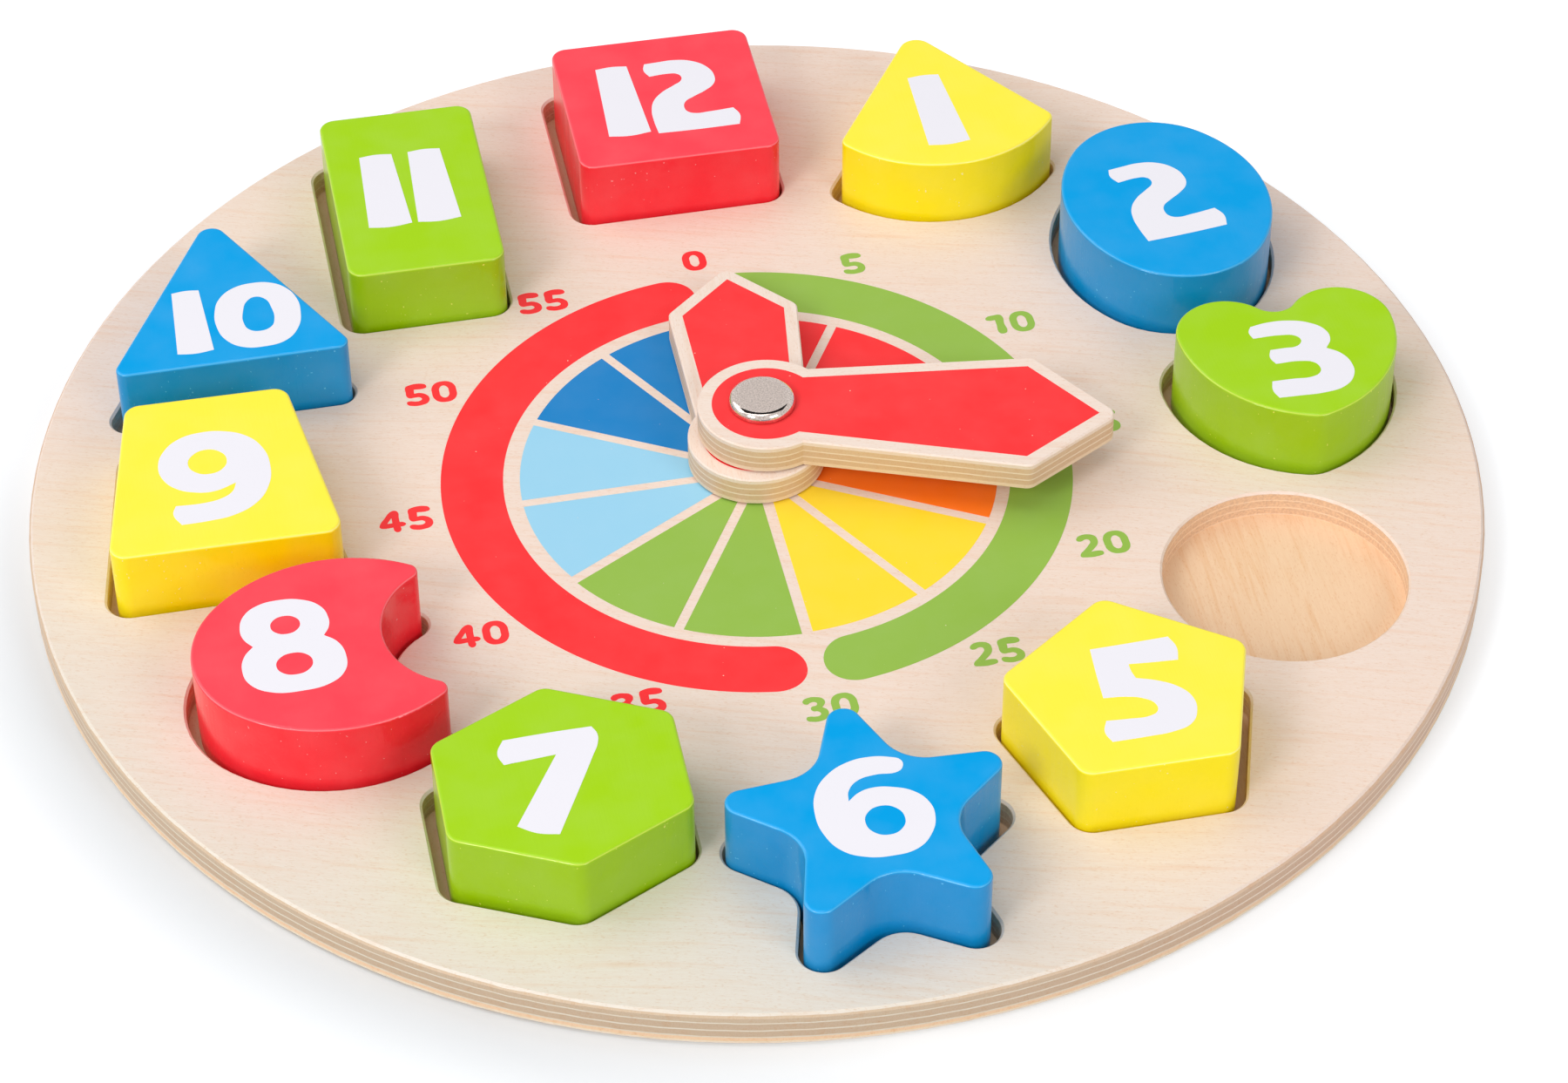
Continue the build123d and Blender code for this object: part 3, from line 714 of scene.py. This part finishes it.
# %% Minutes round the dial
minute_places = {  # x and y in mm from the dial's middle
    0: (1.0, 70.6), 5: (34.8, 62.4), 10: (63.4, 35.6), 15: (73.0, 0.0), 20: (65.2, -36.8),
    25: (36.6, -63.2), 30: (1.0, -71.6), 35: (-35.6, -62.8), 40: (-62.8, -37.2),
    45: (-72.6, -0.4), 50: (-62.0, 38.2), 55: (-33.8, 63.4),
}
FIGURE_STEP = 5.75  # mm from the middle of a first figure to the middle of the second
for minute, (x, y) in minute_places.items():
    figures = str(minute)
    offset = -FIGURE_STEP / 2 * (len(figures) - 1)
    drawn = [
        (dial_glyphs[glyph], (x + DIAL[0] + offset + FIGURE_STEP * i, y + DIAL[1], 1, 0))
        for i, glyph in enumerate(figures)
    ]
    mesh = figure(f"minute_{minute:02d}", drawn)
    mesh.transform(Matrix.Translation((0, 0, (board_top + FILM) * MM)))
    hue = "green" if 0 < minute <= 30 else "red"
    finish_print(f"minute_{minute:02d}", mesh, "board", dial_inks[hue])
print("printed", len(minute_places), "minute figures")

# %% [markdown]
# ## The hands' red fields
# Each hand carries a red field that stops a constant distance inside its sawn outline, so it
# follows from the outline: every side moves inwards by that distance and is cut off where it meets
# the next. The field's round end is an arc about the rivet, which meets the first sides of the arm.

# %% Red fields
HAND_MARGIN, FIELD_HUB = 2.9, 11.2  # mm of bare wood round a field, and the radius of its round end
HUB_POINTS = 60  # round that end


def moved_in(points, distance):
    """Corners of a polygon whose sides are moved to their left by a distance.

    Two neighbouring sides with unit normals a and b meet at point + d (a + b) / (1 + a.b).
    """
    sides = np.diff(points, axis=0)
    sides = sides / np.linalg.norm(sides, axis=1)[:, None]
    normals = np.stack([-sides[:, 1], sides[:, 0]], axis=1)
    before, after = normals[:-1], normals[1:]
    shift = (before + after) / (1 + (before * after).sum(1))[:, None]
    return points[1:-1] + distance * shift, normals


def hand_field(root, shoulder, tip, turn, hole):
    """The outline of a hand's field, from its tip round by the hub, with its hole on the rivet."""
    outline = [(root, 0), shoulder, (0, tip), (-shoulder[0], shoulder[1]), (-root, 0)]
    outline = np.array(outline, float)
    corners, normals = moved_in(outline, HAND_MARGIN)
    # where the moved first side meets the round end: |base + t along| = radius
    base = outline[0] + HAND_MARGIN * normals[0]
    along = (outline[1] - outline[0]) / np.linalg.norm(outline[1] - outline[0])
    ahead = base @ along
    meet = base + along * (-ahead + np.sqrt(ahead**2 - (base @ base - FIELD_HUB**2)))
    start_at = np.arctan2(meet[1], meet[0])
    arc = np.linspace(pi - start_at, 2 * pi + start_at, HUB_POINTS)
    field = np.concatenate([corners, np.stack([np.cos(arc), np.sin(arc)], axis=1) * FIELD_HUB])
    angle = radians(turn)
    spin = np.array([[cos(angle), sin(angle)], [-sin(angle), cos(angle)]])
    placed = (field - hole) @ spin + np.array(rivet_middle[:2]) / MM
    return [[tuple(point) + (1,) for point in placed.tolist()]]


# half width at the hub, shoulder, tip, turn in degrees and the hole's place on the hand
hand_fields = {
    "hour_hand": (11.2, (13.9, 41.6), 55.7, -4.4, (1.5, 2.0)),
    "minute_hand": (10.6, (17.2, 54.9), 72.9, -104.4, (0.0, -0.8)),
}
hand_red = ink("red screen ink on the hands", "#FC3538")
for hand, sizes in hand_fields.items():
    outline = hand_field(*sizes)
    mesh = figure(f"red_field_{hand}", [(outline, (0, 0, 1, 0))])
    mesh.transform(Matrix.Translation((0, 0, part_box(hand)[1].z + FILM * MM)))
    finish_print(f"red_field_{hand}", mesh, hand, hand_red)
    print(hand, "field has", len(mesh.vertices), "points")

# %% [markdown]
# ## Floor and light
# The object stands on a white sweep. The floor takes the shadow, and a little light that only the
# camera and mirrors see lifts it to paper white. That lift fades out close to the board's front
# left, where a soft shadow is to show. From below the floor is clear, so that the underside can be
# looked at. A large lamp above the left shoulder gives the soft shadows to the right. An overhead
# lamp and two smaller ones in front fill them, and give the blocks' front arrises their thin bright
# line. An even white surround does the rest. Together they put about as much light on a level
# surface as makes a colour render as it is written. A black card that only reflections see hangs
# overhead, and draws the dark line round the flat of the polished rivet.

# %% White floor
SWEEP_INNER, SWEEP_OUTER = 149.0, 8000.0  # mm. It is cut out under the board, where light comes in
SWEEP_TOP, SWEEP_POINTS = -0.2, 129  # mm, a hair below the board, and the points round it
TO_RIGHT = (0.8, 0.6, 0)  # from the floor's front left
LIFT_FROM, LIFT_TO = -120, 100  # mm along that direction, between which the lift grows
LIFT_LOW, LIFT_HIGH = 0.25, 0.42  # where 1 is full white
# the shadow is left alone in a ring round the board, and only at its front left
RING_FULL, RING_GONE = 152, 169  # mm from the board's middle
LEFT_FULL, LEFT_GONE = -142, -92  # mm along that direction


def set_up(name, mesh, material):
    """Puts a sheet on the stage, where it is no part of the object."""
    mesh.materials.append(material)
    piece = bpy.data.objects.new(name, mesh)
    bpy.context.scene.collection.objects.link(piece)
    return piece


paper, tree, where, _ = start("white paper sweep")
ray = put(tree, "LightPath").node.outputs
seen = put(tree, "Math", [ray["Is Camera Ray"], ray["Is Glossy Ray"]], operation="ADD")
seen = put(tree, "Math", [seen, ray["Is Transmission Ray"]], operation="ADD")
right_of = put(tree, "VectorMath", [where, TO_RIGHT], operation="DOT_PRODUCT")
right_of = right_of.node.outputs["Value"]
radius = put(tree, "VectorMath", [where], operation="LENGTH").node.outputs["Value"]
lift = put(tree, "MapRange", [right_of, LIFT_FROM * MM, LIFT_TO * MM, LIFT_LOW, LIFT_HIGH])
beside = put(tree, "MapRange", [radius, RING_FULL * MM, RING_GONE * MM, 1.0, 0.0])
front_left = put(tree, "MapRange", [right_of, LEFT_FULL * MM, LEFT_GONE * MM, 1.0, 0.0])
shadow = put(tree, "Math", [beside, front_left], operation="MULTIPLY")
outside = put(tree, "MapRange", [shadow, 0, 1, 1, 0])
lift = put(tree, "Math", [lift, outside], operation="MULTIPLY")
lift = put(tree, "Math", [lift, seen], operation="MULTIPLY")
# uncoated paper scatters light evenly, so it shows a soft shadow and no reflection
matt = put(tree, "BsdfPrincipled", {
    "Base Color": colour("#D6D9DC"), "Roughness": 0.9,
    "Emission Color": WHITE, "Emission Strength": lift,
})
below = put(tree, "NewGeometry").node.outputs["Backfacing"]
sheet = put(tree, "MixShader", [below, matt, put(tree, "BsdfTransparent")])
put(tree, "OutputMaterial", {"Surface": sheet})
around = np.linspace(0, 2 * pi, SWEEP_POINTS)
rims = np.array([[SWEEP_INNER], [SWEEP_OUTER]])
sweep = flat_grid("floor", rims * np.cos(around), rims * np.sin(around), SWEEP_TOP)
set_up("floor", sweep, paper)
print("the floor reaches", SWEEP_OUTER * MM, "m from the board's middle")

# %% White surround
AMBIENT = 0.42   # what the surround gives a level surface, where 1 is full white
MIRRORED = 0.8   # how bright the surround is in a reflection
world = bpy.data.worlds.new("white surround")
world.use_nodes = True
bpy.context.scene.world = world
tree = world.node_tree
tree.nodes.clear()
ray = put(tree, "LightPath").node.outputs
strength = put(tree, "Mix", [ray["Is Glossy Ray"], AMBIENT, MIRRORED])
seen = put(tree, "Math", [ray["Is Camera Ray"], ray["Is Transmission Ray"]], operation="ADD")
strength = put(tree, "Mix", [seen, strength, 1.0])
surround = put(tree, "Background", {"Color": WHITE, "Strength": strength})
put(tree, "OutputWorld", {"Surface": surround})
print("the surround gives", AMBIENT, "of full white, and", MIRRORED, "in reflections")

# %% Lamps and a black card


def soft_box(name, level, azimuth, elevation, away, side):
    """A square lamp that faces the origin.

    A level surface far below a small lamp gets power * sin(elevation) / (pi * away)^2, so that is
    solved for the power that gives it the wanted level. Azimuth 0 is in front, at -Y.
    """
    azimuth, elevation = radians(azimuth), radians(elevation)
    out = cos(elevation)
    towards = Vector((sin(azimuth) * out, -cos(azimuth) * out, sin(elevation)))
    lamp = bpy.data.lights.new(name, "AREA")
    lamp.size = side
    lamp.energy = level * (pi * away) ** 2 / towards.z
    holder = bpy.data.objects.new(name, lamp)
    holder.location = towards * away
    holder.rotation_mode = "QUATERNION"
    holder.rotation_quaternion = towards.to_track_quat("Z", "Y")
    bpy.context.scene.collection.objects.link(holder)
    print(name, "takes", round(lamp.energy, 1), "W at", away, "m")


# level, azimuth and elevation in degrees, distance and side in metres
lamps = {
    "key above the left shoulder": (0.28, -114, 48, 3.0, 2.4),
    "overhead": (0.14, -40, 78, 3.0, 1.6),
    "fill from the left front": (0.2, -50, 36, 2.5, 0.8),
    "fill from the right front": (0.13, 30, 32, 2.5, 1.0),
}
for name, sizes in lamps.items():
    soft_box(name, *sizes)

# felt swallows nearly all light, and is as dark from every side
felt, tree, _, _ = start("black felt")
nap = {"Base Color": colour("#101010"), "Roughness": 1.0}
put(tree, "OutputMaterial", {"Surface": put(tree, "BsdfPrincipled", nap)})
CARD_X, CARD_Y, CARD_HEIGHT = [-2000.0, 2000.0], [-100.0, 1500.0], 2500.0  # mm
x, y = np.meshgrid(CARD_X, CARD_Y)
card = set_up("black_card", flat_grid("black_card", x, y, CARD_HEIGHT), felt)
card.visible_camera = card.visible_diffuse = card.visible_shadow = False
bpy.context.scene.view_settings.view_transform = "Standard"

# %% [markdown]
# ## Camera
# The clock is seen from in front, a little from the left and from well above. A long lens from
# almost a metre keeps the far rim nearly as wide as the near one. A camera looks along its own -Z,
# so its axes are built from the direction back to it and a small roll.

# %% Camera
AZIMUTH, ELEVATION, ROLL = radians(-11.5), radians(42.455), radians(-0.267)
DISTANCE, LENS, SENSOR = 889.27, 100.17, 36.0  # mm
AIM = Vector((1.06, -22.56, 8.2)) * MM
back = Vector((sin(AZIMUTH) * cos(ELEVATION), -cos(AZIMUTH) * cos(ELEVATION), sin(ELEVATION)))
right = Vector((cos(AZIMUTH), sin(AZIMUTH), 0))
up = back.cross(right)
rolled_right = right * cos(ROLL) + up * sin(ROLL)
rolled_up = up * cos(ROLL) - right * sin(ROLL)
axes = Matrix((rolled_right, rolled_up, back)).transposed().to_4x4()
lens = bpy.data.cameras.new("camera")
lens.lens, lens.sensor_width = LENS, SENSOR
camera = bpy.data.objects.new("camera", lens)
camera.matrix_world = Matrix.Translation(AIM + back * DISTANCE * MM) @ axes
bpy.context.scene.collection.objects.link(camera)
bpy.context.scene.camera = camera
print("camera at", [round(v, 3) for v in camera.location])
